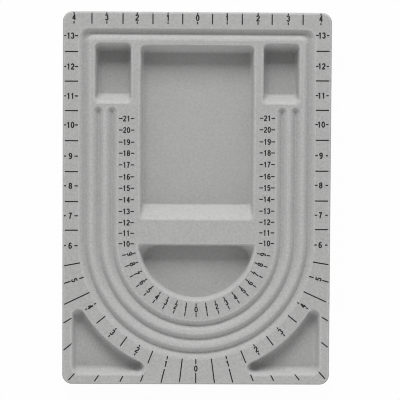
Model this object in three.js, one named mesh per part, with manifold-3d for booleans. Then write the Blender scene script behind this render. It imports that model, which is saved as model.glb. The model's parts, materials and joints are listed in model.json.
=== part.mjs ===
// A flocked bead board: a sheet of plastic formed into a shallow board with bead channels and bead wells,
// under a coat of flock that follows every bend of it. Millimetres, +Z up, the board lies on Z = 0.
// +Y points away from the person who works at it, and the U of the channels opens towards +Y.
import * as THREE from "three";
import Module from "manifold-3d";

const wasm = await Module();
wasm.setup();

// Board and its layers
const BOARD_WIDTH = 229.9;
const BOARD_LENGTH = 319.2;
const BOARD_CORNER_RADIUS = 9;
const SKIRT_DRAFT = 2; // degrees that the outer wall leans out
const SHEET_THICKNESS = 0.8;
const BOND_GAP = 0.3; // room for the adhesive that holds the flock
const FLOCK_PILE = 0.5;
const FLOCK_HEM = 0.5; // how far the flock stops above the sheet's cut edge
const UNDERSIDE_BEND = 0.3; // tightest bend of the sheet, on its underside

// Rims between the board's edge and what is formed into it
const SIDE_RIM = 13.75;
const BACK_RIM = 13.95;
const FRONT_RIM = 21.85;
const CORNER_SIDE_RIM = 7.6;
const CORNER_FRONT_RIM = 8.05;

// Bead channels
const CHANNEL_PITCH = 11.6;
const CHANNEL_RIDGE = 0.6; // flat on top of the ridge between two channels
const CHANNEL_DEPTH = 3.2;
const CHANNEL_LIP_BEND = 4; // rounder than at the wells
const CHANNEL_FLOOR_BEND = 0.7;
const CHANNEL_FLOOR_FLAT = 0.3;
const CHANNEL_END_RIDGE = 1.1; // between a channel's end and the pocket behind it
const LOOP_FLOOR_CORNER = 4; // plan radius of its floor where the outer channel turns at the back
const LOOP_ISLAND_CORNER = 2.5; // and of the land inside that turn

// Wells: a large tray, two pockets, a half moon and two corner wells
const WELL_DEPTH = 15; // of the tray and the pockets, whose undersides the board lies on
const MOON_FLOOR_RISE = 2; // how much higher the half moon's floor is
const CORNER_FLOOR_RISE = 4.5; // and the corner wells' floors
const WELL_FLOOR_BEND = 2;
const POCKET_BACK_RIDGE = 1.3; // between the back channel and a pocket
const TRAY_BACK_RIDGE = 3; // and between it and the tray
const TRAY_SIDE_LAND = 17.1; // flat band between the tray and the inner channel
const TRAY_FRONT_LAND = 19.4; // flat band between the tray and the half moon
const TRAY_CORNER = 4.5; // plan radius of its corners at the land
const TRAY_FLOOR_CORNER = 2.5; // and at the floor
const TRAY_DRAFT = { side: 5, back: 13, front: 39 };
const POCKET_TRAY_RIDGE = 4.8; // between a pocket and the tray
const POCKET_LENGTH = 52.8;
const POCKET_CORNER = 4.5;
const POCKET_FLOOR_CORNER = 2.5;
const POCKET_SIDE_RIDGE = 1.7; // between a pocket and the channel beside it
const POCKET_DRAFT = { side: 5, back: 14.5, front: 27.5 };
const SCALE_LAND = 15.6; // flat band between the half moon and the inner channel
const MOON_CHORD_DROP = 1.1; // from the U's centre to the half moon's straight edge
const MOON_CORNER = 2;
const MOON_FLOOR_CORNER = 12;
const MOON_FLOOR_BEND = 0.8;
const MOON_DRAFT = { arc: 1.5, chord: 3 };
const ARC_LAND = 11.1; // flat band between the outer channel and a corner well
const CORNER_FLOOR_BEND = 4.2;
const CORNER_FLOOR_TIP = 0.3;
const CORNER_FLOOR_HEEL = 1;
const CORNER_DRAFT = { arc: 4, side: 12, front: 14 };

// Facets
const LIP_STEPS = 2;
const FLOOR_STEPS = 3;
const CHANNEL_LIP_STEPS = 3;
const CHANNEL_FLOOR_STEPS = 2;
const BOARD_CORNER_STEPS = 6;
const CORNER_STEPS = 3;
const END_STEPS = 6;
const U_STEPS = 24;
const MOON_STEPS = 14;
const CORNER_ARC_STEPS = 6;
const CUT_CLEARANCE = 2; // how far a cutting solid reaches past what it cuts

// Layers are offsets from the flock's upper surface
const SHEET_TOP = FLOCK_PILE + BOND_GAP;
const STACK = SHEET_TOP + SHEET_THICKNESS;
const LIP_BEND = STACK + UNDERSIDE_BEND;
const BOARD_HEIGHT = WELL_DEPTH + STACK;
const LIP = { radius: LIP_BEND, steps: LIP_STEPS };
const CHANNEL_LIP = { radius: CHANNEL_LIP_BEND, steps: CHANNEL_LIP_STEPS };

// Places, from the rims inwards
const CHANNEL_WIDTH = CHANNEL_PITCH - CHANNEL_RIDGE;
const U_RADIUS = BOARD_WIDTH / 2 - SIDE_RIM;
const U_CENTRE_Y = -BOARD_LENGTH / 2 + FRONT_RIM + U_RADIUS;
const LOOP_BACK_Y = BOARD_LENGTH / 2 - BACK_RIM;
const INNER_LAND_RADIUS = U_RADIUS - 2 * CHANNEL_PITCH - CHANNEL_WIDTH;
const MOON_RADIUS = INNER_LAND_RADIUS - SCALE_LAND;
const MOON_CHORD_Y = U_CENTRE_Y - MOON_CHORD_DROP;
const ISLAND_BACK_Y = LOOP_BACK_Y - CHANNEL_WIDTH;
const TRAY_BACK_Y = ISLAND_BACK_Y - TRAY_BACK_RIDGE;
const POCKET_BACK_Y = ISLAND_BACK_Y - POCKET_BACK_RIDGE;
const TRAY_HALF_WIDTH = INNER_LAND_RADIUS - TRAY_SIDE_LAND;
const TRAY_FRONT_Y = MOON_CHORD_Y + TRAY_FRONT_LAND;
const POCKET_INNER_X = TRAY_HALF_WIDTH + POCKET_TRAY_RIDGE;
const POCKET_OUTER_X = U_RADIUS - CHANNEL_WIDTH - POCKET_SIDE_RIDGE;
const POCKET_FRONT_Y = POCKET_BACK_Y - POCKET_LENGTH;
const CHANNEL_END_Y = POCKET_FRONT_Y - CHANNEL_END_RIDGE - CHANNEL_WIDTH / 2;

const FLOCK_GREY = 0xacacaa;
const SHEET_GREY = 0x8e8e8c;

const radians = THREE.MathUtils.degToRad;

// Points of an arc, both ends included, angles in radians
function arc(x, y, radius, from, to, steps) {
  return Array.from({ length: steps + 1 }, (_, i) => {
    const angle = from + ((to - from) * i) / steps;
    return new THREE.Vector2(x + radius * Math.cos(angle), y + radius * Math.sin(angle));
  });
}

function roundedBox(left, right, front, back, radius, steps) {
  const turn = (x, y, quarter) =>
    arc(x, y, radius, (quarter * Math.PI) / 2, ((quarter + 1) * Math.PI) / 2, steps);
  return [
    ...turn(right - radius, back - radius, 0),
    ...turn(left + radius, back - radius, 1),
    ...turn(left + radius, front + radius, 2),
    ...turn(right - radius, front + radius, 3),
  ];
}

// A wall from the land down to a floor: a lip bend, a straight drafted part and a floor bend. Layers share
// the bends' centres, so a wall at any offset into the material is parallel to the flock's surface.
function wall(depth, draft, lip, floor) {
  const lean = radians(draft);
  const bends = lip.radius + floor.radius;
  const straight = (depth - bends * (1 - Math.sin(lean))) / Math.cos(lean);
  const floorInset = bends * Math.cos(lean) + straight * Math.sin(lean);
  return { depth, lean, lip, floor, floorInset };
}

// How far in from the land's edge that wall is, at a depth below the board's top
function insetAt({ depth, lean, lip, floor, floorInset }, at, offset) {
  const lipRadius = lip.radius - offset;
  const floorRadius = floor.radius + offset;
  const lipEnd = lip.radius - lipRadius * Math.sin(lean);
  const belowCentre = at - depth + floor.radius;
  if (at <= lipEnd) return Math.sqrt(Math.max(0, lipRadius ** 2 - (lip.radius - at) ** 2));
  if (belowCentre >= floorRadius * Math.sin(lean))
    return floorInset - Math.sqrt(Math.max(0, floorRadius ** 2 - belowCentre ** 2));
  return lipRadius * Math.cos(lean) + (at - lipEnd) * Math.tan(lean);
}

// Angles of a bend between level and a wall, both ends included
function turns(lean, steps) {
  return Array.from({ length: steps + 1 }, (_, i) => ((Math.PI / 2 - lean) * i) / steps);
}

// Depths of the rings that follow a wall from the land to the floor, by the steepest of a well's walls
function ringDepths(walls, offset) {
  const { depth, lean, lip, floor } = walls.reduce((a, b) => (a.lean < b.lean ? a : b));
  const lipDepth = (turn) => lip.radius - (lip.radius - offset) * Math.cos(turn);
  const floorDepth = (turn) => depth - floor.radius + (floor.radius + offset) * Math.sin(lean + turn);
  return [...turns(lean, lip.steps).map(lipDepth), ...turns(lean, floor.steps).map(floorDepth)];
}

// A closed surface through rings of matching points. A looped one joins its last ring to its first.
function loft(rings, looped = false) {
  const count = rings[0].length;
  const positions = rings.flatMap((ring) => ring.flatMap((p) => [p.x, p.y, p.z]));
  const triangles = [];
  const joints = looped ? rings.length : rings.length - 1;
  for (let ring = 0; ring < joints; ring++) {
    const upper = ring * count;
    const lower = ((ring + 1) % rings.length) * count;
    for (let i = 0; i < count; i++) {
      const next = (i + 1) % count;
      triangles.push(upper + i, lower + i, lower + next, upper + i, lower + next, upper + next);
    }
  }
  if (!looped) {
    const last = (rings.length - 1) * count;
    const flat = (ring) => ring.map((p) => new THREE.Vector2(p.x, p.y));
    for (const [a, b, c] of THREE.ShapeUtils.triangulateShape(flat(rings[0]), [])) triangles.push(a, b, c);
    for (const [a, b, c] of THREE.ShapeUtils.triangulateShape(flat(rings.at(-1)), []))
      triangles.push(last + a, last + c, last + b);
  }
  return new THREE.BufferGeometry()
    .setAttribute("position", new THREE.Float32BufferAttribute(positions, 3))
    .setIndex(new THREE.Uint32BufferAttribute(triangles, 1));
}

function solidOf(geometry) {
  const vertProperties = geometry.getAttribute("position").array;
  const triVerts = geometry.getIndex().array;
  return new wasm.Manifold(new wasm.Mesh({ numProp: 3, vertProperties, triVerts }));
}

function geometryOf(solid) {
  const { vertProperties, triVerts } = solid.getMesh();
  const geometry = new THREE.BufferGeometry()
    .setAttribute("position", new THREE.BufferAttribute(vertProperties, 3))
    .setIndex(new THREE.BufferAttribute(triVerts, 1));
  geometry.computeVertexNormals();
  return geometry;
}

const ring = (outline, depth) => outline.map((p) => new THREE.Vector3(p.x, p.y, BOARD_HEIGHT - depth));

// Plan radius of a well's corner at a depth, between those at the land and at the floor. Layers share the
// corner's centre.
function cornerAt(wall, atLand, atFloor, depth, inset) {
  const share = THREE.MathUtils.clamp(depth / wall.depth, 0, 1);
  return THREE.MathUtils.lerp(atLand, atFloor, share) + insetAt(wall, depth, 0) - inset;
}

// A solid that cuts a well, from above the land to its floor. outline takes each wall's inset and the depth.
function wellCutter(walls, outline, offset) {
  const names = Object.keys(walls);
  const depths = ringDepths(Object.values(walls), offset);
  const at = (depth) =>
    outline(Object.fromEntries(names.map((name) => [name, insetAt(walls[name], depth, offset)])), depth);
  const rings = [ring(at(depths[0]), -CUT_CLEARANCE), ...depths.map((depth) => ring(at(depth), depth))];
  return solidOf(loft(rings));
}

// A well's walls by name, each with its own draft
function drafted(depth, drafts, floorBend) {
  const floor = { radius: floorBend, steps: FLOOR_STEPS };
  return Object.fromEntries(
    Object.entries(drafts).map(([name, draft]) => [name, wall(depth, draft, LIP, floor)]),
  );
}

// Tray and pockets: boxes with a gentle slope at the front to sweep beads up
function boxCutter(left, right, front, back, drafts, corners, offset) {
  const walls = drafted(WELL_DEPTH, drafts, WELL_FLOOR_BEND);
  const outline = (inset, depth) => {
    const corner = cornerAt(walls.side, ...corners, depth, inset.side);
    const sides = [left + inset.side, right - inset.side];
    return roundedBox(...sides, front + inset.front, back - inset.back, corner, CORNER_STEPS);
  };
  return wellCutter(walls, outline, offset);
}

function trayCutter(offset) {
  const spans = [-TRAY_HALF_WIDTH, TRAY_HALF_WIDTH, TRAY_FRONT_Y, TRAY_BACK_Y];
  return boxCutter(...spans, TRAY_DRAFT, [TRAY_CORNER, TRAY_FLOOR_CORNER], offset);
}

function pocketCutter(side, offset) {
  const edges = [side * POCKET_OUTER_X, side * POCKET_INNER_X].sort((a, b) => a - b);
  const spans = [...edges, POCKET_FRONT_Y, POCKET_BACK_Y];
  return boxCutter(...spans, POCKET_DRAFT, [POCKET_CORNER, POCKET_FLOOR_CORNER], offset);
}

// Half moon: a straight edge towards the tray and an arc that runs with the channels
function moonCutter(offset) {
  const walls = drafted(WELL_DEPTH - MOON_FLOOR_RISE, MOON_DRAFT, MOON_FLOOR_BEND);
  const outline = (inset, depth) => {
    const radius = MOON_RADIUS - inset.arc;
    const corner = cornerAt(walls.chord, MOON_CORNER, MOON_FLOOR_CORNER, depth, inset.chord);
    const y = MOON_CHORD_Y - inset.chord - corner;
    const x = Math.sqrt((radius - corner) ** 2 - (y - U_CENTRE_Y) ** 2);
    const meet = Math.atan2(y - U_CENTRE_Y, x);
    return [
      ...arc(x, y, corner, meet, Math.PI / 2, CORNER_STEPS),
      ...arc(-x, y, corner, Math.PI / 2, Math.PI - meet, CORNER_STEPS),
      ...arc(0, U_CENTRE_Y, radius, Math.PI - meet, 2 * Math.PI + meet, MOON_STEPS).slice(1, -1),
    ];
  };
  return wellCutter(walls, outline, offset);
}

// Corner well: two straight walls along the board's corner and a hollow arc that runs with the channels
function cornerCutter(side, offset) {
  const walls = drafted(WELL_DEPTH - CORNER_FLOOR_RISE, CORNER_DRAFT, CORNER_FLOOR_BEND);
  const outline = (inset) => {
    const radius = U_RADIUS + ARC_LAND + inset.arc;
    const tip = CORNER_FLOOR_TIP + walls.arc.floorInset - inset.arc;
    const heel = CORNER_FLOOR_HEEL + walls.side.floorInset - inset.side;
    const left = -BOARD_WIDTH / 2 + CORNER_SIDE_RIM + inset.side;
    const front = -BOARD_LENGTH / 2 + CORNER_FRONT_RIM + inset.front - U_CENTRE_Y;
    const sideTip = { x: left + tip, y: -Math.sqrt((radius + tip) ** 2 - (left + tip) ** 2) };
    const frontTip = { x: -Math.sqrt((radius + tip) ** 2 - (front + tip) ** 2), y: front + tip };
    const sideMeet = Math.atan2(-sideTip.y, -sideTip.x);
    const frontMeet = Math.atan2(-frontTip.y, -frontTip.x);
    const points = [
      ...arc(left + heel, front + heel, heel, Math.PI, 1.5 * Math.PI, CORNER_STEPS),
      ...arc(frontTip.x, frontTip.y, tip, -Math.PI / 2, frontMeet, CORNER_STEPS),
      ...arc(0, 0, radius, Math.PI + frontMeet, Math.PI + sideMeet, CORNER_ARC_STEPS).slice(1, -1),
      ...arc(sideTip.x, sideTip.y, tip, sideMeet, Math.PI, CORNER_STEPS),
    ];
    const placed = points.map((p) => new THREE.Vector2(-side * p.x, p.y + U_CENTRE_Y));
    return side > 0 ? placed.reverse() : placed;
  };
  return wellCutter(walls, outline, offset);
}

// A channel's wall leans so that its two sides leave the flat that the floor asks for: the line between
// the lip bend and the floor bend that touches both.
function channelWall() {
  const across = (CHANNEL_WIDTH - CHANNEL_FLOOR_FLAT) / 2;
  const floorBend = Math.min(CHANNEL_FLOOR_BEND, across - CHANNEL_LIP_BEND);
  const bends = CHANNEL_LIP_BEND + floorBend;
  const down = CHANNEL_DEPTH - bends;
  const lean = Math.acos(bends / Math.hypot(across, down)) - Math.atan2(down, across);
  const floor = { radius: floorBend, steps: CHANNEL_FLOOR_STEPS };
  return wall(CHANNEL_DEPTH, THREE.MathUtils.radToDeg(lean), CHANNEL_LIP, floor);
}

// The outer channel: a closed loop, square at the back and round at the front
function loopChannelCutter(offset) {
  const side = channelWall();
  const outline = (inset, corner) => {
    const half = U_RADIUS - inset;
    const back = LOOP_BACK_Y - inset - corner;
    return [
      ...arc(half - corner, back, corner, 0, Math.PI / 2, CORNER_STEPS),
      ...arc(corner - half, back, corner, Math.PI / 2, Math.PI, CORNER_STEPS),
      ...arc(0, U_CENTRE_Y, half, Math.PI, 2 * Math.PI, U_STEPS),
    ];
  };
  const depths = ringDepths([side], offset);
  const insets = depths.map((depth) => insetAt(side, depth, offset));
  const outer = (i) => outline(insets[i], LOOP_FLOOR_CORNER + side.floorInset - insets[i]);
  const inner = (i) => outline(CHANNEL_WIDTH - insets[i], LOOP_ISLAND_CORNER + insets[i]);
  const down = depths.map((depth, i) => ring(outer(i), depth));
  const up = depths.map((depth, i) => ring(inner(i), depth)).reverse();
  const rings = [ring(outer(0), -CUT_CLEARANCE), ...down, ...up, ring(inner(0), -CUT_CLEARANCE)];
  return solidOf(loft(rings, true));
}

// An inner channel: a U with round ends in front of the pockets
function uChannelCutter(index, offset) {
  const outerRadius = U_RADIUS - index * CHANNEL_PITCH;
  const centreRadius = outerRadius - CHANNEL_WIDTH / 2;
  const outline = ({ side }) => {
    const half = CHANNEL_WIDTH / 2 - side;
    return [
      ...arc(0, U_CENTRE_Y, outerRadius - side, Math.PI, 2 * Math.PI, U_STEPS),
      ...arc(centreRadius, CHANNEL_END_Y, half, 0, Math.PI, END_STEPS),
      ...arc(0, U_CENTRE_Y, centreRadius - half, 2 * Math.PI, Math.PI, U_STEPS),
      ...arc(-centreRadius, CHANNEL_END_Y, half, 0, Math.PI, END_STEPS),
    ];
  };
  return wellCutter({ side: channelWall() }, outline, offset);
}

// The board without its wells: a flat top, a rounded edge and a skirt down to a given height
function blank(offset, bottom) {
  const lean = radians(SKIRT_DRAFT);
  const bend = LIP_BEND - offset;
  const skirtInset = (height) => height * Math.tan(lean) + offset / Math.cos(lean);
  const bendTop = BOARD_HEIGHT - LIP_BEND;
  const centreInset = (bendTop + LIP_BEND * Math.sin(lean)) * Math.tan(lean) + LIP_BEND * Math.cos(lean);
  const outline = (inset) => {
    const [x, y] = [BOARD_WIDTH / 2 - inset, BOARD_LENGTH / 2 - inset];
    return roundedBox(-x, x, -y, y, BOARD_CORNER_RADIUS - inset, BOARD_CORNER_STEPS);
  };
  const edge = turns(lean, LIP_STEPS).map((turn) =>
    ring(outline(centreInset - bend * Math.sin(turn)), LIP_BEND - bend * Math.cos(turn)),
  );
  return solidOf(loft([...edge, ring(outline(skirtInset(bottom)), BOARD_HEIGHT - bottom)]));
}

// All that lies below the flock's surface moved into the material by an offset, down to a given height
function formedBody(offset, bottom) {
  const cutters = [
    trayCutter(offset),
    moonCutter(offset),
    loopChannelCutter(offset),
    uChannelCutter(1, offset),
    uChannelCutter(2, offset),
    ...[-1, 1].flatMap((side) => [pocketCutter(side, offset), cornerCutter(side, offset)]),
  ];
  return cutters.reduce((body, cutter) => body.subtract(cutter), blank(offset, bottom));
}

// A layer of the board between two offsets, open underneath
function layer(name, from, to, bottom, colour, roughness) {
  const solid = formedBody(from, bottom).subtract(formedBody(to, -CUT_CLEARANCE));
  const material = new THREE.MeshStandardMaterial({ color: colour, roughness, metalness: 0 });
  const mesh = new THREE.Mesh(geometryOf(solid), material);
  mesh.name = name;
  return mesh;
}

const board = new THREE.Group();
board.add(layer("plastic_sheet", SHEET_TOP, STACK, 0, SHEET_GREY, 0.55));
board.add(layer("flock_coat", 0, FLOCK_PILE, FLOCK_HEM, FLOCK_GREY, 0.95));

export default board;
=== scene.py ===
# A grey flocked bead board with black inch and centimetre scales, lying on a white table.
# Lengths are in millimetres up to the point where a mesh is made, which is in metres.
import json
import math

import bpy
from mathutils import Matrix, Vector
from mathutils.geometry import delaunay_2d_cdt, tessellate_polygon

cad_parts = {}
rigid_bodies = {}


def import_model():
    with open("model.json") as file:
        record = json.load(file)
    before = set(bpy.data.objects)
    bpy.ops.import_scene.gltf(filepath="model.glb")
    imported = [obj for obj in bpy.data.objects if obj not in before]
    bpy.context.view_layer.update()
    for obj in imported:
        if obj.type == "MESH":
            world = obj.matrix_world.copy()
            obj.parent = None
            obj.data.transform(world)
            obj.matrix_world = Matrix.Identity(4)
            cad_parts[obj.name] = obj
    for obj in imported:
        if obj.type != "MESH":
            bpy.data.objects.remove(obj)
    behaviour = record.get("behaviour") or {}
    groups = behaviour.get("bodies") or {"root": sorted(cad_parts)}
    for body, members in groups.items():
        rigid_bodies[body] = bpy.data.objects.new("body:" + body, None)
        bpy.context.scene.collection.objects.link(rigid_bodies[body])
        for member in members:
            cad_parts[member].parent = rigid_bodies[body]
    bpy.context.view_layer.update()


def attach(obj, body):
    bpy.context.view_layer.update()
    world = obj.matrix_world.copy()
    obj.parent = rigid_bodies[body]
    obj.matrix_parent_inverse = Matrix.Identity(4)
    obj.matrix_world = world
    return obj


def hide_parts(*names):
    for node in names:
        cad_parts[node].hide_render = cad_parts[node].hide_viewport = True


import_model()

MM = 0.001

# Board and its layers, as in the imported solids
BOARD_WIDTH = 229.9
BOARD_LENGTH = 319.2
BOARD_CORNER_RADIUS = 9
SKIRT_DRAFT = math.radians(2)
SHEET_THICKNESS = 0.8
BOND_GAP = 0.3
FLOCK_PILE = 0.5
FLOCK_HEM = 0.5
UNDERSIDE_BEND = 0.3

# Rims between the board's edge and what is formed into it
SIDE_RIM = 13.75
BACK_RIM = 13.95
FRONT_RIM = 21.85
CORNER_SIDE_RIM = 7.6
CORNER_FRONT_RIM = 8.05

# Bead channels
CHANNEL_PITCH = 11.6
CHANNEL_RIDGE = 0.6
CHANNEL_DEPTH = 3.2
CHANNEL_LIP_BEND = 4
CHANNEL_FLOOR_BEND = 0.7
CHANNEL_FLOOR_FLAT = 0.3
CHANNEL_END_RIDGE = 1.1
LOOP_FLOOR_CORNER = 4
LOOP_ISLAND_CORNER = 2.5

# Wells: a large tray, two pockets, a half moon and two corner wells
WELL_DEPTH = 15
MOON_FLOOR_RISE = 2
CORNER_FLOOR_RISE = 4.5
WELL_FLOOR_BEND = 2
POCKET_BACK_RIDGE = 1.3
TRAY_BACK_RIDGE = 3
TRAY_SIDE_LAND = 17.1
TRAY_FRONT_LAND = 19.4
TRAY_CORNER = 4.5
TRAY_FLOOR_CORNER = 2.5
TRAY_DRAFT = {"side": 5, "back": 13, "front": 39}
POCKET_TRAY_RIDGE = 4.8
POCKET_LENGTH = 52.8
POCKET_CORNER = 4.5
POCKET_FLOOR_CORNER = 2.5
POCKET_SIDE_RIDGE = 1.7
POCKET_DRAFT = {"side": 5, "back": 14.5, "front": 27.5}
SCALE_LAND = 15.6
MOON_CHORD_DROP = 1.1
MOON_CORNER = 2
MOON_FLOOR_CORNER = 12
MOON_FLOOR_BEND = 0.8
MOON_DRAFT = {"arc": 1.5, "chord": 3}
ARC_LAND = 11.1
CORNER_FLOOR_BEND = 4.2
CORNER_FLOOR_TIP = 0.3
CORNER_FLOOR_HEEL = 1
CORNER_DRAFT = {"arc": 4, "side": 12, "front": 14}

# Fineness of the bends and curves
LIP_STEPS = 6
FLOOR_STEPS = 6
BOARD_CORNER_STEPS = 16
CORNER_STEPS = 10
END_STEPS = 20
U_STEPS = 120
MOON_STEPS = 72
CORNER_ARC_STEPS = 40
COLLAR = 0.2  # flat border beside a bend, which keeps the shading of the flat next to it even
SHARP_EDGE = math.radians(50)
NOUGHT_STEPS = 24
EIGHT_STEPS = 18
STROKE_STEPS = 14
LINE_SEGMENTS = 8

# Painted highlight along a lip's bend: lighter flock, full at its top and none from halfway down
LIP_HIGHLIGHT = [max(0, 1 - 2 * i / LIP_STEPS) for i in range(LIP_STEPS + 1)]

# Layers are offsets from the flock's upper surface
SHEET_TOP = FLOCK_PILE + BOND_GAP
STACK = SHEET_TOP + SHEET_THICKNESS
LIP_BEND = STACK + UNDERSIDE_BEND
BOARD_HEIGHT = WELL_DEPTH + STACK

# Places, from the rims inwards
CHANNEL_WIDTH = CHANNEL_PITCH - CHANNEL_RIDGE
U_RADIUS = BOARD_WIDTH / 2 - SIDE_RIM
U_CENTRE_Y = -BOARD_LENGTH / 2 + FRONT_RIM + U_RADIUS
LOOP_BACK_Y = BOARD_LENGTH / 2 - BACK_RIM
INNER_LAND_RADIUS = U_RADIUS - 2 * CHANNEL_PITCH - CHANNEL_WIDTH
MOON_RADIUS = INNER_LAND_RADIUS - SCALE_LAND
MOON_CHORD_Y = U_CENTRE_Y - MOON_CHORD_DROP
ISLAND_BACK_Y = LOOP_BACK_Y - CHANNEL_WIDTH
TRAY_BACK_Y = ISLAND_BACK_Y - TRAY_BACK_RIDGE
POCKET_BACK_Y = ISLAND_BACK_Y - POCKET_BACK_RIDGE
TRAY_HALF_WIDTH = INNER_LAND_RADIUS - TRAY_SIDE_LAND
TRAY_FRONT_Y = MOON_CHORD_Y + TRAY_FRONT_LAND
POCKET_INNER_X = TRAY_HALF_WIDTH + POCKET_TRAY_RIDGE
POCKET_OUTER_X = U_RADIUS - CHANNEL_WIDTH - POCKET_SIDE_RIDGE
POCKET_FRONT_Y = POCKET_BACK_Y - POCKET_LENGTH
CHANNEL_END_Y = POCKET_FRONT_Y - CHANNEL_END_RIDGE - CHANNEL_WIDTH / 2

# Printed scales: height of a numeral, and widths of its stroke and of a line
INCH_PRINT = {"height": 5.2, "stroke": 1.06, "line": 1}
CENTIMETRE_PRINT = {"height": 4.9, "stroke": 0.95, "line": 0.9}
NUMERAL_ADVANCE = 0.65  # of the numeral's height, from one digit to the next
PRINT_SKEW = 0.0074  # rise of the straight scales from left to right, as the print lies a little askew
FILM_ABOVE = 0.06  # how far the ink stands on the flock
FILM_BELOW = 0.04  # and how far it soaks in
DROP_FROM = 100  # height that the print falls on the flock from
DROP_REACH = 1000  # and how far it may fall
LINE_SHAPE = 10  # a mark's shape is a digit, or this for a line,
CENTIMETRE_SHAPES = 11  # and this much more on the centimetre scale

# Top inch scale: half marks, and numerals between two short dashes
TOP_HALF_X = (12.65, 37.9, 63.3, 89.6)
TOP_NUMERAL_X = (0, 25.1, 51.3, 77, 104.8)
TOP_HALF_Y = (148.4, 158.2)
TOP_NUMERAL_Y = 153.8
TOP_DASHES_Y = ((148.4, 150.5), (156.6, 158.2))

# Side inch scales, from 6 to 13, with a half mark between two numerals
SIDE_FIRST = 6
SIDE_NUMERAL_Y = (-39.5, -14, 11.5, 36.8, 63.3, 87.9, 112.8, 138.9)
SIDE_HALF_Y = (-26.3, -1.9, 23.6, 49.9, 75.4, 100.4, 125.5)
SIDE_HALF_X = (101.1, 113.2)
SIDE_PLACES = {  # the numeral's middle and its two dashes, from the board's middle
    -1: (107.6, ((101.2, 104.1), (111.3, 113.1))),
    1: (105.8, ((100.8, 103.1), (109.9, 112))),
}

# Front inch scale, round the U's centre: value, angle below level, radius of the numeral, lines
FRONT_RIGHT_TURN = 0.95  # degrees that the marks right of the 0 lie nearer to level
FRONT_MARK_REACH = 113.3  # from the board's middle to where the last of a mark ends at a side
STEEP_SPOKE = 0.1  # cosine below which a mark can't get to a side
FRONT_MARKS = (
    (0, 90, 108.6, ((100.6, 104.7), (112.5, 121.1))),
    (None, 83.4, None, ((100.8, 122),)),
    (1, 76.2, 107.8, ((100.8, 103.9), (112.4, 124.7))),
    (None, 68.5, None, ((100.6, 112.1), (123, 129))),
    (2, 61.6, 105.4, ((100.6, 102.2), (108.8, 110.8), (131.1, 136.5))),
    (None, 54.1, None, ((100.5, 110.5), (141.4, 148))),
    (3, 47.5, 105.5, ((100.6, 102.2), (108.8, 110.7), (152.7, 161.3))),
    (None, 39.5, None, ((100.5, 110.2), (137.6, 146.7))),
    (4, 31.7, 106.3, ((100.6, 102.6), (109.6, 111.3), (125.1, 133.2))),
    (None, 25.6, None, ((101, 124.9),)),
    (5, 17.7, 109.2, ((100.8, 104.8), (112.5, 118.4))),
    (None, 10.5, None, ((100.9, 114.6),)),
)

# Inner centimetre scale: straight beside the tray from 10 to 21, then round the half moon
STRAIGHT_FIRST = 10
STRAIGHT_NUMERAL_Y = (-38, -29, -19.9, -10.4, -0.4, 9.4, 19.1, 29.3, 39.2, 48.6, 58.9, 68.7)
STRAIGHT_NUMERAL_X = 59.9
STRAIGHT_DASHES_X = ((53.4, 56.4), (63.3, 66.4))
ARC_LAST = 9
ARC_LAST_ANGLE = 10.6  # degrees below level
ARC_ANGLE_STEP = (90 - ARC_LAST_ANGLE) / ARC_LAST
ARC_NUMERAL_RADIUS = 57.9
ARC_DASHES = ((52.7, 55.2), (61, 64.3))

# Finishes: noises, with their scale per metre, then places along them with a tone as a share of white or with
# a roughness, then bumps, with their height in metres
FLOCK_FIBRES = {"scale": 1900, "detail": 3, "roughness": 0.6}
FLOCK_TUFTS = {"scale": 500, "detail": 2}
FLOCK_PATCHES = {"scale": 55, "detail": 3}
SHEET_PEEL = {"scale": 420, "detail": 2}
SHEET_CLOUDS = {"scale": 30, "detail": 3}
INK_FIBRES = {"scale": 2200, "detail": 3, "roughness": 0.6}
FIBRE_TONES = ((0.25, 0.39), (0.75, 0.56))
FIBRE_WARMTH = 0.005
TUFT_TONES = ((0.3, 0.93), (0.7, 1.07))
PATCH_TONES = ((0.3, 0.965), (0.7, 1))
# painted highlight: the flock is lighter on the lips than elsewhere
HIGHLIGHT_TONES = ((0, 0.885), (1, 1))
SHEET_TONES = ((0.3, 0.255), (0.7, 0.29))
SHEET_ROUGHNESS = ((0.3, 0.46), (0.7, 0.62))
INK_TONES = ((0.35, 0.012), (0.8, 0.055))
FLOCK_BUMP = {"distance": 0.0003, "strength": 0.35}
SHEET_BUMP = {"distance": 0.0002, "strength": 0.2}
INK_BUMP = {"distance": 0.0003, "strength": 0.3}

# Table and sky
TABLE_HALF = 6000
TABLE_COLOUR = (0.8, 0.8, 0.8, 1)
TABLE_WHITE_SHARE = 0.96  # of what the camera sees of the table; the rest takes the board's shadow
SKY_LEVEL = 1.35  # radiance at the horizon, which falls evenly with height to none overhead

# Lamps: degrees above the table, degrees from the back towards the right, and metres. At a level of 1, a lamp
# alone would show white as white in the middle of the board
KEY_LAMP = {"elevation": 32, "turn": -3, "distance": 2.6, "size": (1.25, 1.1), "level": 0.47}
FILL_LAMP = {"elevation": 28, "turn": 180, "distance": 0.55, "size": (0.5, 0.4), "level": 0.1}

# Camera: it looks straight down, then turns about its X, Y and Z, in degrees
CAMERA_PLACE = (-10.05, 32.5, 1064)
CAMERA_TILT = -1.819
CAMERA_YAW = -0.704
CAMERA_ROLL = 0.293
CAMERA_HALF_FIELD = 9.2419
CAMERA_SENSOR = 36
CAMERA_CLIP = 50  # metres
PIXEL_FILTER = 1.0  # pixels, so that thin print stays crisp


# Outlines, all turning left, so that the face of a bridge between two of them points up

def arc(x, y, radius, start, end, steps):
    angles = [start + (end - start) * i / steps for i in range(steps + 1)]
    return [(x + radius * math.cos(angle), y + radius * math.sin(angle)) for angle in angles]


def rounded_box(left, right, front, back, radius, steps):
    quarter = math.pi / 2
    return (
        arc(right - radius, back - radius, radius, 0, quarter, steps)
        + arc(left + radius, back - radius, radius, quarter, 2 * quarter, steps)
        + arc(left + radius, front + radius, radius, 2 * quarter, 3 * quarter, steps)
        + arc(right - radius, front + radius, radius, 3 * quarter, 4 * quarter, steps)
    )


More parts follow.
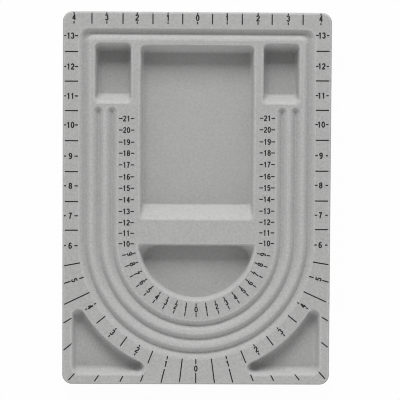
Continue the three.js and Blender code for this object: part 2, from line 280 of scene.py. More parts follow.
class Wall:
    """A wall from the land to a floor: a lip bend, a straight drafted part and a floor bend."""

    def __init__(self, depth, draft, lip_bend, floor_bend):
        self.depth = depth
        self.lean = math.radians(draft)
        self.lip_bend = lip_bend
        self.floor_bend = floor_bend
        bends = lip_bend + floor_bend
        straight = (depth - bends * (1 - math.sin(self.lean))) / math.cos(self.lean)
        self.floor_inset = bends * math.cos(self.lean) + straight * math.sin(self.lean)

    def lip_end(self, offset):
        return self.lip_bend - (self.lip_bend - offset) * math.sin(self.lean)

    def bend_start(self, offset):
        return self.depth - self.floor_bend + (self.floor_bend + offset) * math.sin(self.lean)

    def inset_at(self, at, offset):
        lip = self.lip_bend - offset
        bend = self.floor_bend + offset
        if at <= self.lip_end(offset):
            return math.sqrt(max(0, lip ** 2 - (self.lip_bend - at) ** 2))
        if at >= self.bend_start(offset):
            rise = at - self.depth + self.floor_bend
            return self.floor_inset - math.sqrt(max(0, bend ** 2 - rise ** 2))
        return lip * math.cos(self.lean) + (at - self.lip_end(offset)) * math.tan(self.lean)


def turns(lean, steps):
    return [(math.pi / 2 - lean) * i / steps for i in range(steps + 1)]


def ring_depths(walls, offset):
    """Depths of the rings down a well, by its steepest wall, with a border at each end of the straight."""
    wall = min(walls, key=lambda each: each.lean)
    lip = wall.lip_bend - offset
    bend = wall.floor_bend + offset
    depths = [wall.lip_bend - lip * math.cos(turn) for turn in turns(wall.lean, LIP_STEPS)]
    if wall.bend_start(offset) - wall.lip_end(offset) > 3 * COLLAR:
        depths += [wall.lip_end(offset) + COLLAR, wall.bend_start(offset) - COLLAR]
    floor = wall.depth - wall.floor_bend
    depths += [floor + bend * math.sin(wall.lean + turn) for turn in turns(wall.lean, FLOOR_STEPS)]
    return depths


def worn_rings(walls, offset):
    """The same depths, each with the painted highlight of its ring."""
    depths = ring_depths(walls, offset)
    return zip(depths, LIP_HIGHLIGHT + [0] * (len(depths) - len(LIP_HIGHLIGHT)))


class Skin:
    """Points and faces of a piece while it is put together from rings."""

    def __init__(self):
        self.points = []
        # painted highlight of each point, full on the tops of the lips' bends
        self.wear = []
        self.faces = []
        self.faces_up = True

    def ring(self, outline, depth, wear=0):
        first = len(self.points)
        self.points += [(x, y, BOARD_HEIGHT - depth) for x, y in outline]
        self.wear += [wear] * len(outline)
        return list(range(first, len(self.points)))

    def add_face(self, corners):
        self.faces.append(corners if self.faces_up else corners[::-1])

    def bridge(self, outer, inner):
        for i in range(len(outer)):
            k = (i + 1) % len(outer)
            self.add_face((outer[i], outer[k], inner[k], inner[i]))

    def bridge_all(self, rings):
        for outer, inner in zip(rings, rings[1:]):
            self.bridge(outer, inner)

    def fill(self, loops):
        """A flat face within the first loop and outside the others."""
        order = [index for loop in loops for index in loop]
        flat = [[Vector(self.points[i][:2]).to_3d() for i in loop] for loop in loops]
        for triangle in tessellate_polygon(flat):
            a, b, c = [order[i] for i in triangle]
            (ax, ay, _), (bx, by, _), (cx, cy, _) = [self.points[i] for i in (a, b, c)]
            turns_left = (bx - ax) * (cy - ay) - (by - ay) * (cx - ax) > 0
            self.add_face((a, b, c) if turns_left else (a, c, b))


def drafted(depth, drafts, floor_bend):
    return {name: Wall(depth, draft, LIP_BEND, floor_bend) for name, draft in drafts.items()}


def corner_at(wall, at_land, at_floor, depth, inset):
    """Plan radius of a well's corner at a depth. Layers share the corner's centre."""
    share = min(1, max(0, depth / wall.depth))
    return at_land + (at_floor - at_land) * share + wall.inset_at(depth, 0) - inset


def box_well(left, right, front, back, drafts, corners):
    walls = drafted(WELL_DEPTH, drafts, WELL_FLOOR_BEND)

    def outline(inset, depth):
        corner = corner_at(walls["side"], *corners, depth, inset["side"])
        edges = (left + inset["side"], right - inset["side"], front + inset["front"], back - inset["back"])
        return rounded_box(*edges, corner, CORNER_STEPS)

    return walls, outline


def tray():
    edges = (-TRAY_HALF_WIDTH, TRAY_HALF_WIDTH, TRAY_FRONT_Y, TRAY_BACK_Y)
    return box_well(*edges, TRAY_DRAFT, (TRAY_CORNER, TRAY_FLOOR_CORNER))


def pocket(side):
    left, right = sorted((side * POCKET_OUTER_X, side * POCKET_INNER_X))
    corners = (POCKET_CORNER, POCKET_FLOOR_CORNER)
    return box_well(left, right, POCKET_FRONT_Y, POCKET_BACK_Y, POCKET_DRAFT, corners)


def half_moon():
    walls = drafted(WELL_DEPTH - MOON_FLOOR_RISE, MOON_DRAFT, MOON_FLOOR_BEND)

    def outline(inset, depth):
        radius = MOON_RADIUS - inset["arc"]
        corner = corner_at(walls["chord"], MOON_CORNER, MOON_FLOOR_CORNER, depth, inset["chord"])
        y = MOON_CHORD_Y - inset["chord"] - corner
        x = math.sqrt((radius - corner) ** 2 - (y - U_CENTRE_Y) ** 2)
        meet = math.atan2(y - U_CENTRE_Y, x)
        return (
            arc(x, y, corner, meet, math.pi / 2, CORNER_STEPS)
            + arc(-x, y, corner, math.pi / 2, math.pi - meet, CORNER_STEPS)
            + arc(0, U_CENTRE_Y, radius, math.pi - meet, 2 * math.pi + meet, MOON_STEPS)[1:-1]
        )

    return walls, outline


def corner_well(side):
    walls = drafted(WELL_DEPTH - CORNER_FLOOR_RISE, CORNER_DRAFT, CORNER_FLOOR_BEND)

    def outline(inset, _):
        radius = U_RADIUS + ARC_LAND + inset["arc"]
        tip = CORNER_FLOOR_TIP + walls["arc"].floor_inset - inset["arc"]
        heel = CORNER_FLOOR_HEEL + walls["side"].floor_inset - inset["side"]
        left = -BOARD_WIDTH / 2 + CORNER_SIDE_RIM + inset["side"]
        front = -BOARD_LENGTH / 2 + CORNER_FRONT_RIM + inset["front"] - U_CENTRE_Y
        side_tip = (left + tip, -math.sqrt((radius + tip) ** 2 - (left + tip) ** 2))
        front_tip = (-math.sqrt((radius + tip) ** 2 - (front + tip) ** 2), front + tip)
        side_meet = math.atan2(-side_tip[1], -side_tip[0])
        front_meet = math.atan2(-front_tip[1], -front_tip[0])
        points = (
            arc(left + heel, front + heel, heel, math.pi, 1.5 * math.pi, CORNER_STEPS)
            + arc(*front_tip, tip, -math.pi / 2, front_meet, CORNER_STEPS)
            + arc(0, 0, radius, math.pi + front_meet, math.pi + side_meet, CORNER_ARC_STEPS)[1:-1]
            + arc(*side_tip, tip, side_meet, math.pi, CORNER_STEPS)
        )
        placed = [(-side * x, y + U_CENTRE_Y) for x, y in points]
        return placed[::-1] if side > 0 else placed

    return walls, outline


def channel_wall():
    """A channel's two sides lean so that they leave the flat that its floor asks for."""
    across = (CHANNEL_WIDTH - CHANNEL_FLOOR_FLAT) / 2
    bends = CHANNEL_LIP_BEND + CHANNEL_FLOOR_BEND
    down = CHANNEL_DEPTH - bends
    lean = math.acos(bends / math.hypot(across, down)) - math.atan2(down, across)
    return Wall(CHANNEL_DEPTH, math.degrees(lean), CHANNEL_LIP_BEND, CHANNEL_FLOOR_BEND)


def u_channel(index):
    outer_radius = U_RADIUS - index * CHANNEL_PITCH
    centre_radius = outer_radius - CHANNEL_WIDTH / 2

    def outline(inset, _):
        half = CHANNEL_WIDTH / 2 - inset["side"]
        return (
            arc(0, U_CENTRE_Y, centre_radius + half, math.pi, 2 * math.pi, U_STEPS)
            + arc(centre_radius, CHANNEL_END_Y, half, 0, math.pi, END_STEPS)
            + arc(0, U_CENTRE_Y, centre_radius - half, 2 * math.pi, math.pi, U_STEPS)
            + arc(-centre_radius, CHANNEL_END_Y, half, 0, math.pi, END_STEPS)
        )

    return {"side": channel_wall()}, outline


def form_well(skin, walls, outline, offset, flat_floor):
    """A well from the land to its floor. Gives back the flat border that the land is filled up to."""

    def at(depth):
        return outline({name: wall.inset_at(depth, offset) for name, wall in walls.items()}, depth)

    border = skin.ring(outline({name: -COLLAR for name in walls}, offset), offset)
    rings = [border]
    # rings down the well, each with its share of the painted highlight on the lip
    for depth, wear in worn_rings(walls.values(), offset):
        rings.append(skin.ring(at(depth), depth, wear))
    if flat_floor:
        floor = {name: wall.floor_inset + COLLAR for name, wall in walls.items()}
        depth = next(iter(walls.values())).depth + offset
        rings.append(skin.ring(outline(floor, depth), depth))
    skin.bridge_all(rings)
    skin.fill([rings[-1]])
    return border


def form_loop_channel(skin, offset):
    """The outer channel, a closed loop. Gives back its outer border and the border of the land inside it."""
    side = channel_wall()

    def outline(inset, corner):
        half = U_RADIUS - inset
        back = LOOP_BACK_Y - inset - corner
        return (
            arc(half - corner, back, corner, 0, math.pi / 2, CORNER_STEPS)
            + arc(corner - half, back, corner, math.pi / 2, math.pi, CORNER_STEPS)
            + arc(0, U_CENTRE_Y, half, math.pi, 2 * math.pi, U_STEPS)
        )

    def outer(inset):
        return outline(inset, LOOP_FLOOR_CORNER + side.floor_inset - inset)

    def inner(inset):
        return outline(CHANNEL_WIDTH - inset, LOOP_ISLAND_CORNER + inset)

    down = [skin.ring(outer(-COLLAR), offset)]
    up = [skin.ring(inner(-COLLAR), offset)]
    # rings down the channel, each with its share of the painted highlight on the lip
    for depth, wear in worn_rings([side], offset):
        inset = side.inset_at(depth, offset)
        down.append(skin.ring(outer(inset), depth, wear))
        up.append(skin.ring(inner(inset), depth, wear))
    skin.bridge_all(down + up[::-1])
    return down[0], up[0]


def form_edge(skin, offset, bottom):
    """The rounded edge and the skirt. Gives back the land's border and the ring at the skirt's bottom."""
    bend = LIP_BEND - offset
    bend_top = BOARD_HEIGHT - LIP_BEND
    centre = (bend_top + LIP_BEND * math.sin(SKIRT_DRAFT)) * math.tan(SKIRT_DRAFT)
    centre += LIP_BEND * math.cos(SKIRT_DRAFT)

    def outline(inset):
        x, y = BOARD_WIDTH / 2 - inset, BOARD_LENGTH / 2 - inset
        return rounded_box(-x, x, -y, y, BOARD_CORNER_RADIUS - inset, BOARD_CORNER_STEPS)

    def skirt(height):
        inset = height * math.tan(SKIRT_DRAFT) + offset / math.cos(SKIRT_DRAFT)
        return skin.ring(outline(inset), BOARD_HEIGHT - height)

    rings = [skin.ring(outline(centre + COLLAR), offset)]
    # painted highlight on the board edge's bend
    for turn, wear in zip(turns(SKIRT_DRAFT, LIP_STEPS), LIP_HIGHLIGHT):
        depth = LIP_BEND - bend * math.cos(turn)
        rings.append(skin.ring(outline(centre - bend * math.sin(turn)), depth, wear))
    bend_bottom = bend_top + bend * math.sin(SKIRT_DRAFT)
    rings += [skirt(bend_bottom - COLLAR), skirt(bottom + COLLAR), skirt(bottom)]
    skin.bridge_all(rings[::-1])
    return rings[0], rings[-1]


def form_skin(skin, offset, bottom):
    """One face of a layer: land, edge, channels and wells. Gives back the ring at its bottom."""
    edge, hem = form_edge(skin, offset, bottom)
    loop, island = form_loop_channel(skin, offset)
    corner_wells = [form_well(skin, *corner_well(side), offset, True) for side in (-1, 1)]
    skin.fill([edge, loop] + corner_wells)
    wells = [form_well(skin, *well, offset, True) for well in (tray(), half_moon(), pocket(-1), pocket(1))]
    wells += [form_well(skin, *u_channel(index), offset, False) for index in (1, 2)]
    skin.fill([island] + wells)
    return hem


def new_mesh(name, points, faces):
    mesh = bpy.data.meshes.new(name)
    mesh.from_pydata([Vector(point) * MM for point in points], [], faces)
    return mesh


def in_scene(name, data):
    thing = bpy.data.objects.new(name, data)
    bpy.context.scene.collection.objects.link(thing)
    return thing


def new_object(name, points, faces, material):
    mesh = new_mesh(name, points, faces)
    mesh.materials.append(material)
    return in_scene(name, mesh)


def formed_layer(name, upper, lower, bottom, material):
    """A closed layer of the board between two offsets, open underneath."""
    skin = Skin()
    outer_hem = form_skin(skin, upper, bottom)
    skin.faces_up = False
    inner_hem = form_skin(skin, lower, bottom)
    skin.bridge(outer_hem, inner_hem)
    piece = new_object(name, skin.points, skin.faces, material)
    # painted highlight along the lips, which the flock's finish reads
    piece.data.attributes.new("lip_wear", "FLOAT", "POINT").data.foreach_set("value", skin.wear)
    piece.data.shade_smooth()
    piece.data.set_sharp_from_angle(angle=SHARP_EDGE)
    return piece


# Numerals, as strokes in a box one high

def ellipse(x, y, across, high, start, end, steps=STROKE_STEPS):
    """Part of an ellipse, from its middle, half width, half height, and first and last angle."""
    angles = [math.radians(start + (end - start) * i / steps) for i in range(steps + 1)]
    return [(x + across * math.cos(angle), y + high * math.sin(angle)) for angle in angles]


def half_turned(strokes, width):
    return [[(width - x, 1 - y) for x, y in stroke] for stroke in strokes]


DIGIT_WIDTH = 0.56
SIX = [ellipse(0.28, 0.31, 0.2, 0.23, 0, 360), ellipse(0.3, 0.42, 0.22, 0.5, 180, 50)]
DIGITS = (
    [ellipse(0.28, 0.5, 0.2, 0.42, 0, 360, NOUGHT_STEPS)],
    [[(0.3, 0), (0.3, 1)], [(0.1, 0.75), (0.2, 0.78), (0.27, 0.87), (0.3, 0.98)]],
    [ellipse(0.28, 0.68, 0.19, 0.24, 170, -25) + [(0.12, 0.2), (0.09, 0.08)], [(0.01, 0.08), (0.52, 0.08)]],
    [ellipse(0.26, 0.71, 0.18, 0.21, 165, -90), ellipse(0.26, 0.3, 0.2, 0.22, 90, -165)],
    [[(0.39, 0), (0.39, 1)], [(0.39, 0.95), (0.09, 0.36)], [(0.02, 0.3), (0.54, 0.3)]],
    [[(0.13, 0.92), (0.5, 0.92)], [(0.15, 0.96), (0.11, 0.5)], ellipse(0.27, 0.34, 0.2, 0.26, 145, -160)],
    SIX,
    [[(0.04, 0.92), (0.53, 0.92)], [(0.47, 0.92), (0.33, 0.64), (0.24, 0.3), (0.21, 0)]],
    [ellipse(0.28, 0.72, 0.17, 0.2, 0, 360, EIGHT_STEPS), ellipse(0.28, 0.3, 0.2, 0.22, 0, 360, EIGHT_STEPS)],
    half_turned(SIX, DIGIT_WIDTH),
)
SAME_POINT = 1e-6
JOIN_DISTANCE = 1e-5
MITRE_LIMIT = 0.5
KEEP_INSIDE = 1  # of the kinds of result, the triangles that lie inside the faces


def stroke_quads(stroke, width):
    """A line of even width along a stroke, as quads that share their corners."""
    closed = math.dist(stroke[0], stroke[-1]) < SAME_POINT
    points = [Vector(point) for point in (stroke[:-1] if closed else stroke)]
    count = len(points)
    sides = []
    for i, point in enumerate(points):
        before = points[i - 1] if closed or i > 0 else point
        after = points[(i + 1) % count] if closed or i < count - 1 else point
        arriving = (point - before).normalized() if point != before else (after - point).normalized()
        leaving = (after - point).normalized() if after != point else arriving
        middle = (arriving + leaving).normalized()
        reach = width / 2 / max(MITRE_LIMIT, middle.dot(arriving))
        across = Vector((-middle.y, middle.x)) * reach
        sides.append((point + across, point - across))
    pairs = zip(sides, sides[1:] + sides[:1]) if closed else zip(sides, sides[1:])
    return [(start[1], end[1], end[0], start[0]) for start, end in pairs]


def flat_film(corners, triangles):
    """A thin closed film from a flat shape, about level zero."""
    count = len(corners)
    points = [(x, y, FILM_ABOVE) for x, y in corners] + [(x, y, -FILM_BELOW) for x, y in corners]
    faces = [tuple(triangle) for triangle in triangles]
    edges = {(t[i], t[(i + 1) % len(t)]) for t in faces for i in range(len(t))}
    walls = [(a, a + count, b + count, b) for a, b in edges if (b, a) not in edges]
    backs = [tuple(i + count for i in reversed(face)) for face in faces]
    return points, faces + sorted(walls) + backs


def digit_film(digit, height, stroke):
    """The shape of one digit, its strokes joined into one outline, centred on its box."""
    quads = [quad for each in DIGITS[digit] for quad in stroke_quads(each, stroke / height)]
    corners = [corner for quad in quads for corner in quad]
    faces = [tuple(range(4 * i, 4 * i + 4)) for i in range(len(quads))]
    result = delaunay_2d_cdt(corners, [], faces, KEEP_INSIDE, JOIN_DISTANCE)
    joined, _, triangles, _, _, origins = result
    inside = [triangle for triangle, origin in zip(triangles, origins) if origin]
    placed = [((x - DIGIT_WIDTH / 2) * height, (y - 0.5) * height) for x, y in joined]
    return flat_film(placed, inside)


def line_film(width):
    """A line one millimetre long, in segments so that it can follow a bend."""
    steps = [i / LINE_SEGMENTS - 0.5 for i in range(LINE_SEGMENTS + 1)]
    corners = [(x, side * width / 2) for x in steps for side in (-1, 1)]
    quads = [(2 * i, 2 * i + 2, 2 * i + 3, 2 * i + 1) for i in range(LINE_SEGMENTS)]
    return flat_film(corners, quads)


class Scales:
    """Where each printed mark goes: its shape, place, turn and stretch."""

    def __init__(self):
        self.marks = []
        self.first_shape = 0
        self.height = INCH_PRINT["height"]

    def line(self, x0, y0, x1, y1):
        length = math.hypot(x1 - x0, y1 - y0)
        turn = math.atan2(y1 - y0, x1 - x0)
        shape = self.first_shape + LINE_SHAPE
        self.marks.append((shape, (x0 + x1) / 2, (y0 + y1) / 2, turn, length))

    def number(self, value, x, y, turn=0):
        digits = [int(digit) for digit in str(value)]
        advance = NUMERAL_ADVANCE * self.height
        for i, digit in enumerate(digits):
            along = (i - (len(digits) - 1) / 2) * advance
            shape = self.first_shape + digit
            self.marks.append((shape, x + along * math.cos(turn), y + along * math.sin(turn), turn, 1))

    def spoke(self, angle, start, end):
        x, y = math.cos(angle), math.sin(angle)
        self.line(start * x, U_CENTRE_Y + start * y, end * x, U_CENTRE_Y + end * y)

    def number_on_spoke(self, value, angle, radius):
        x, y = radius * math.cos(angle), U_CENTRE_Y + radius * math.sin(angle)
        self.number(value, x, y, angle + math.pi / 2)

    def top_inches(self):
        for side in (-1, 1):
            for x in TOP_HALF_X:
                self.line(side * x, TOP_HALF_Y[0], side * x, TOP_HALF_Y[1])
        for value, reach in enumerate(TOP_NUMERAL_X):
            for x in sorted({-reach, reach}):
                self.number(value, x, TOP_NUMERAL_Y)
                for start, end in TOP_DASHES_Y:
                    self.line(x, start, x, end)

    def side_inches(self):
        for side in (-1, 1):
            numeral_x, dashes = SIDE_PLACES[side]
            rise = side * SIDE_HALF_X[0] * PRINT_SKEW
            for value, y in enumerate(SIDE_NUMERAL_Y, SIDE_FIRST):
                y += rise
                self.number(value, side * numeral_x, y)
                for start, end in dashes:
                    self.line(side * start, y, side * end, y)
            for y in SIDE_HALF_Y:
                self.line(side * SIDE_HALF_X[0], y + rise, side * SIDE_HALF_X[1], y + rise)

    def front_inches(self):
        for value, below, numeral_radius, lines in FRONT_MARKS:
            left = math.radians(below) - math.pi
            right = math.radians(FRONT_RIGHT_TURN - below)
            for angle in [left] if value == 0 else [left, right]:
                reach = FRONT_MARK_REACH / max(STEEP_SPOKE, abs(math.cos(angle)))
                for start, end in lines:
                    self.spoke(angle, start, min(end, reach))
                if value is not None:
                    self.number_on_spoke(value, angle, numeral_radius)

    def centimetres(self):
        self.first_shape = CENTIMETRE_SHAPES
        self.height = CENTIMETRE_PRINT["height"]
        for side in (-1, 1):
            for value, y in enumerate(STRAIGHT_NUMERAL_Y, STRAIGHT_FIRST):
                y += side * STRAIGHT_NUMERAL_X * PRINT_SKEW
                self.number(value, side * STRAIGHT_NUMERAL_X, y)
                for start, end in STRAIGHT_DASHES_X:
                    self.line(side * start, y, side * end, y)
        for value in range(ARC_LAST + 1):
            below = math.radians(ARC_LAST_ANGLE + ARC_ANGLE_STEP * (ARC_LAST - value))
            for angle in [-below] if value == 0 else [-below, below - math.pi]:
                self.number_on_spoke(value, angle, ARC_NUMERAL_RADIUS)
                for start, end in ARC_DASHES:
                    self.spoke(angle, start, end)


def print_tree():
    """Geometry Nodes that put a shape on every mark and lay it down on the flock."""
    tree = bpy.data.node_groups.new("lay_scales_on_flock", "GeometryNodeTree")
    for name, kind in (
        ("Marks", "NodeSocketGeometry"),
        ("Shapes", "NodeSocketCollection"),
        ("Flock", "NodeSocketObject"),
        ("Drop from", "NodeSocketFloat"),
        ("Ink", "NodeSocketMaterial"),
    ):
        tree.interface.new_socket(name, in_out="INPUT", socket_type=kind)
    tree.interface.new_socket("Print", in_out="OUTPUT", socket_type="NodeSocketGeometry")
    nodes, links = tree.nodes, tree.links
    given = nodes.new("NodeGroupInput")
    result = nodes.new("NodeGroupOutput")

    def attribute(name, kind):
        node = nodes.new("GeometryNodeInputNamedAttribute")
        node.data_type = kind
        node.inputs["Name"].default_value = name
        return node.outputs["Attribute"]

    shapes = nodes.new("GeometryNodeCollectionInfo")
    links.new(given.outputs["Shapes"], shapes.inputs["Collection"])
    shapes.inputs["Separate Children"].default_value = True
    shapes.inputs["Reset Children"].default_value = True

    turn = nodes.new("ShaderNodeCombineXYZ")
    links.new(attribute("turn", "FLOAT"), turn.inputs["Z"])
    stretch = nodes.new("ShaderNodeCombineXYZ")
    links.new(attribute("stretch", "FLOAT"), stretch.inputs["X"])
    stretch.inputs["Y"].default_value = 1
    stretch.inputs["Z"].default_value = 1

    place = nodes.new("GeometryNodeInstanceOnPoints")
    links.new(given.outputs["Marks"], place.inputs["Points"])
    links.new(shapes.outputs["Instances"], place.inputs["Instance"])
    place.inputs["Pick Instance"].default_value = True
    links.new(attribute("shape", "INT"), place.inputs["Instance Index"])
    links.new(turn.outputs["Vector"], place.inputs["Rotation"])
    links.new(stretch.outputs["Vector"], place.inputs["Scale"])
    realized = nodes.new("GeometryNodeRealizeInstances")
    links.new(place.outputs["Instances"], realized.inputs["Geometry"])

    flock = nodes.new("GeometryNodeObjectInfo")
    links.new(given.outputs["Flock"], flock.inputs["Object"])
    above = nodes.new("ShaderNodeCombineXYZ")
    links.new(given.outputs["Drop from"], above.inputs["Z"])
    start = nodes.new("ShaderNodeVectorMath")
    start.operation = "ADD"
    links.new(nodes.new("GeometryNodeInputPosition").outputs["Position"], start.inputs[0])
    links.new(above.outputs["Vector"], start.inputs[1])
    drop = nodes.new("GeometryNodeRaycast")
    links.new(flock.outputs["Geometry"], drop.inputs["Target Geometry"])
    links.new(start.outputs["Vector"], drop.inputs["Source Position"])
    drop.inputs["Ray Direction"].default_value = (0, 0, -1)
    drop.inputs["Ray Length"].default_value = DROP_REACH * MM
    landing = nodes.new("ShaderNodeSeparateXYZ")
    links.new(drop.outputs["Hit Position"], landing.inputs["Vector"])
    lift = nodes.new("ShaderNodeCombineXYZ")
    links.new(landing.outputs["Z"], lift.inputs["Z"])
    laid = nodes.new("GeometryNodeSetPosition")
    links.new(realized.outputs["Geometry"], laid.inputs["Geometry"])
    links.new(lift.outputs["Vector"], laid.inputs["Offset"])

    inked = nodes.new("GeometryNodeSetMaterial")
    links.new(laid.outputs["Geometry"], inked.inputs["Geometry"])
    links.new(given.outputs["Ink"], inked.inputs["Material"])
    links.new(inked.outputs["Geometry"], result.inputs["Print"])
    return tree


def printed_scales(flock, ink):
    """The inch and centimetre scales, as one film of ink."""
    scales = Scales()
    scales.top_inches()
    scales.side_inches()
    scales.front_inches()
    scales.centimetres()

    shapes = bpy.data.collections.new("mark_shapes")
    films = []
    for size in (INCH_PRINT, CENTIMETRE_PRINT):
        films += [digit_film(digit, size["height"], size["stroke"]) for digit in range(LINE_SHAPE)]
        films.append(line_film(size["line"]))
    for index, (points, faces) in enumerate(films):
        mesh = new_mesh(f"mark_{index:02d}", points, faces)
        shapes.objects.link(bpy.data.objects.new(mesh.name, mesh))

    mesh = new_mesh("mark_places", [(x, y, 0) for _, x, y, _, _ in scales.marks], [])
    for name, kind, column in (("shape", "INT", 0), ("turn", "FLOAT", 3), ("stretch", "FLOAT", 4)):
        values = [mark[column] for mark in scales.marks]
        mesh.attributes.new(name, kind, "POINT").data.foreach_set("value", values)
    places = in_scene("mark_places", mesh)

    tree = print_tree()
    laying = places.modifiers.new("lay_scales_on_flock", "NODES")
    laying.node_group = tree
    settings = {"Shapes": shapes, "Flock": flock, "Drop from": DROP_FROM * MM, "Ink": ink}
    for item in tree.interface.items_tree:
        if item.in_out == "INPUT" and item.name in settings:
            laying[item.identifier] = settings[item.name]
    bpy.context.view_layer.update()
    evaluated = places.evaluated_get(bpy.context.evaluated_depsgraph_get())
    printed = in_scene("printed_scales", bpy.data.meshes.new_from_object(evaluated))
    bpy.data.objects.remove(places)
    for shape in list(shapes.objects):
        bpy.data.objects.remove(shape)
    bpy.data.collections.remove(shapes)
    return printed


# Materials

def new_material(name):
    material = bpy.data.materials.new(name)
    material.use_nodes = True
    nodes = material.node_tree.nodes
    return material, nodes, material.node_tree.links, nodes["Principled BSDF"]


def noise(nodes, links, scale, detail, roughness=0.5):
    place = nodes.new("ShaderNodeTexCoord")
    texture = nodes.new("ShaderNodeTexNoise")
    texture.inputs["Scale"].default_value = scale
    texture.inputs["Detail"].default_value = detail
    texture.inputs["Roughness"].default_value = roughness
    links.new(place.outputs["Object"], texture.inputs["Vector"])
    return texture.outputs["Fac"]


def ramp(nodes, links, value, tones, warmth=0):
    """Greys that run from one tone to another, with a little more red than blue where they are warm."""
    node = nodes.new("ShaderNodeValToRGB")
    for element, (at, tone) in zip(node.color_ramp.elements, tones):
        element.position = at
        element.color = (tone * (1 + warmth), tone, tone * (1 - warmth), 1)
    links.new(value, node.inputs["Fac"])
    return node.outputs["Color"]


def multiply(nodes, links, first, second):
    node = nodes.new("ShaderNodeMix")
    node.data_type = "RGBA"
    node.blend_type = "MULTIPLY"
    node.inputs["Factor"].default_value = 1
    colours = [socket for socket in node.inputs if socket.type == "RGBA"]
    links.new(first, colours[0])
    links.new(second, colours[1])
    return next(socket for socket in node.outputs if socket.type == "RGBA")


def bump(nodes, links, height, distance, strength):
    node = nodes.new("ShaderNodeBump")
    node.inputs["Distance"].default_value = distance
    node.inputs["Strength"].default_value = strength
    links.new(height, node.inputs["Height"])
    return node.outputs["Normal"]


def flock_material():
    """Short grey fibres in tufts, with patches where the pile lies another way, and a painted highlight that
    makes the lips paler.
    """
    material, nodes, links, shader = new_material("grey_flock")
    fibres = noise(nodes, links, **FLOCK_FIBRES)
    grain = ramp(nodes, links, fibres, FIBRE_TONES, FIBRE_WARMTH)
    tufts = ramp(nodes, links, noise(nodes, links, **FLOCK_TUFTS), TUFT_TONES)
    lie = ramp(nodes, links, noise(nodes, links, **FLOCK_PATCHES), PATCH_TONES)
    # painted highlight: the lips' bends are made paler
    lip_highlight_attribute = nodes.new("ShaderNodeAttribute")
    lip_highlight_attribute.attribute_name = "lip_wear"
    wear = ramp(nodes, links, lip_highlight_attribute.outputs["Fac"], HIGHLIGHT_TONES)
    colour = multiply(nodes, links, multiply(nodes, links, grain, tufts), multiply(nodes, links, lie, wear))
    links.new(colour, shader.inputs["Base Color"])
    shader.inputs["Roughness"].default_value = 1
    shader.inputs["Specular IOR Level"].default_value = 0.1
    shader.inputs["Sheen Weight"].default_value = 0.12
    shader.inputs["Sheen Roughness"].default_value = 0.6
    links.new(bump(nodes, links, fibres, **FLOCK_BUMP), shader.inputs["Normal"])
    return material


def sheet_material():
    """Matt grey polystyrene, with the faint orange peel of a formed sheet."""
    material, nodes, links, shader = new_material("grey_polystyrene")
    peel = noise(nodes, links, **SHEET_PEEL)
    clouds = noise(nodes, links, **SHEET_CLOUDS)
    links.new(ramp(nodes, links, clouds, SHEET_TONES), shader.inputs["Base Color"])
    links.new(ramp(nodes, links, peel, SHEET_ROUGHNESS), shader.inputs["Roughness"])
    links.new(bump(nodes, links, peel, **SHEET_BUMP), shader.inputs["Normal"])
    return material


def ink_material():
    """Black ink in the flock's tips, with a few fibres that took less of it."""
    material, nodes, links, shader = new_material("black_ink")
    fibres = noise(nodes, links, **INK_FIBRES)
    links.new(ramp(nodes, links, fibres, INK_TONES), shader.inputs["Base Color"])
    shader.inputs["Roughness"].default_value = 0.85
    shader.inputs["Specular IOR Level"].default_value = 0.2
    links.new(bump(nodes, links, fibres, **INK_BUMP), shader.inputs["Normal"])
    return material


# Stage

def seen_directly(nodes, links):
    """One where the camera looks at a surface, straight, in a mirror or through glass."""
    path = nodes.new("ShaderNodeLightPath")
    total = path.outputs["Is Camera Ray"]
    for name in ("Is Glossy Ray", "Is Transmission Ray"):
        either = nodes.new("ShaderNodeMath")
        either.operation = "MAXIMUM"
        links.new(total, either.inputs[0])
        links.new(path.outputs[name], either.inputs[1])
        total = either.outputs["Value"]
    return total


def white_table():
    material, nodes, links, shader = new_material("white_table")
    shader.inputs["Base Color"].default_value = TABLE_COLOUR
    shader.inputs["Roughness"].default_value = 1
    shader.inputs["Specular IOR Level"].default_value = 0
    glow = nodes.new("ShaderNodeEmission")
    glow.inputs["Strength"].default_value = 1
    share = nodes.new("ShaderNodeMath")
    share.operation = "MULTIPLY"
    share.inputs[1].default_value = TABLE_WHITE_SHARE
    links.new(seen_directly(nodes, links), share.inputs[0])
    mix = nodes.new("ShaderNodeMixShader")
    links.new(share.outputs["Value"], mix.inputs["Fac"])
    links.new(shader.outputs["BSDF"], mix.inputs[1])
    links.new(glow.outputs["Emission"], mix.inputs[2])
    links.new(mix.outputs["Shader"], nodes["Material Output"].inputs["Surface"])
    edge = TABLE_HALF
    corners = [(-edge, -edge, 0), (edge, -edge, 0), (edge, edge, 0), (-edge, edge, 0)]
    table = new_object("table", corners, [(0, 1, 2, 3)], material)


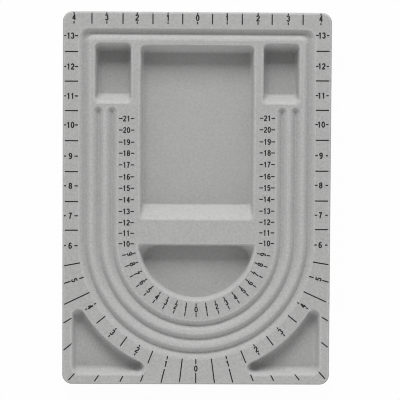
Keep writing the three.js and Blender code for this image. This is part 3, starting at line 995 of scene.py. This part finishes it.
def studio_sky():
    world = bpy.data.worlds.new("studio")
    bpy.context.scene.world = world
    world.use_nodes = True
    nodes, links = world.node_tree.nodes, world.node_tree.links
    background = nodes["Background"]
    background.inputs["Color"].default_value = (1, 1, 1, 1)
    direction = nodes.new("ShaderNodeTexCoord")
    height = nodes.new("ShaderNodeSeparateXYZ")
    links.new(direction.outputs["Generated"], height.inputs["Vector"])
    below_zenith = nodes.new("ShaderNodeMapRange")
    below_zenith.inputs["To Min"].default_value = 1
    below_zenith.inputs["To Max"].default_value = 0
    links.new(height.outputs["Z"], below_zenith.inputs["Value"])
    sky = nodes.new("ShaderNodeMath")
    sky.operation = "MULTIPLY"
    links.new(below_zenith.outputs["Result"], sky.inputs[0])
    sky.inputs[1].default_value = SKY_LEVEL
    level = nodes.new("ShaderNodeMix")
    level.data_type = "FLOAT"
    numbers = [socket for socket in level.inputs if socket.type == "VALUE"]
    links.new(seen_directly(nodes, links), numbers[0])
    links.new(sky.outputs["Value"], numbers[1])
    numbers[2].default_value = 1
    links.new(level.outputs[0], background.inputs["Strength"])


def soft_lamp(name, elevation, turn, distance, size, level):
    rise, round_back = math.radians(elevation), math.radians(turn)
    away = Vector((math.sin(round_back), math.cos(round_back), math.tan(rise))).normalized()
    lamp = bpy.data.lights.new(name, "AREA")
    lamp.shape = "RECTANGLE"
    lamp.size, lamp.size_y = size
    lamp.energy = level * math.pi ** 2 * distance ** 2 / math.sin(rise)
    holder = in_scene(name, lamp)
    holder.location = away * distance
    holder.rotation_euler = away.to_track_quat("Z", "Y").to_euler()
    holder.visible_camera = False


def photo_camera():
    lens = bpy.data.cameras.new("photo")
    lens.sensor_width = CAMERA_SENSOR
    lens.lens = CAMERA_SENSOR / 2 / math.tan(math.radians(CAMERA_HALF_FIELD))
    lens.clip_end = CAMERA_CLIP
    holder = in_scene("photo", lens)
    turned = Matrix.Rotation(math.radians(CAMERA_TILT), 4, "X")
    turned @= Matrix.Rotation(math.radians(CAMERA_YAW), 4, "Y")
    turned @= Matrix.Rotation(math.radians(CAMERA_ROLL), 4, "Z")
    holder.matrix_world = Matrix.Translation(Vector(CAMERA_PLACE) * MM) @ turned
    bpy.context.scene.camera = holder


flock = formed_layer("board_flock", 0, FLOCK_PILE, FLOCK_HEM, flock_material())
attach(flock, "root")
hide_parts("flock_coat")

sheet = formed_layer("formed_sheet", SHEET_TOP, STACK, 0, sheet_material())
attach(sheet, "root")
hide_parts("plastic_sheet")

scales = printed_scales(flock, ink_material())
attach(scales, "root")

white_table()
studio_sky()
soft_lamp("key", **KEY_LAMP)
soft_lamp("fill", **FILL_LAMP)
photo_camera()
bpy.context.scene.view_settings.view_transform = "Standard"
bpy.context.scene.cycles.filter_width = PIXEL_FILTER
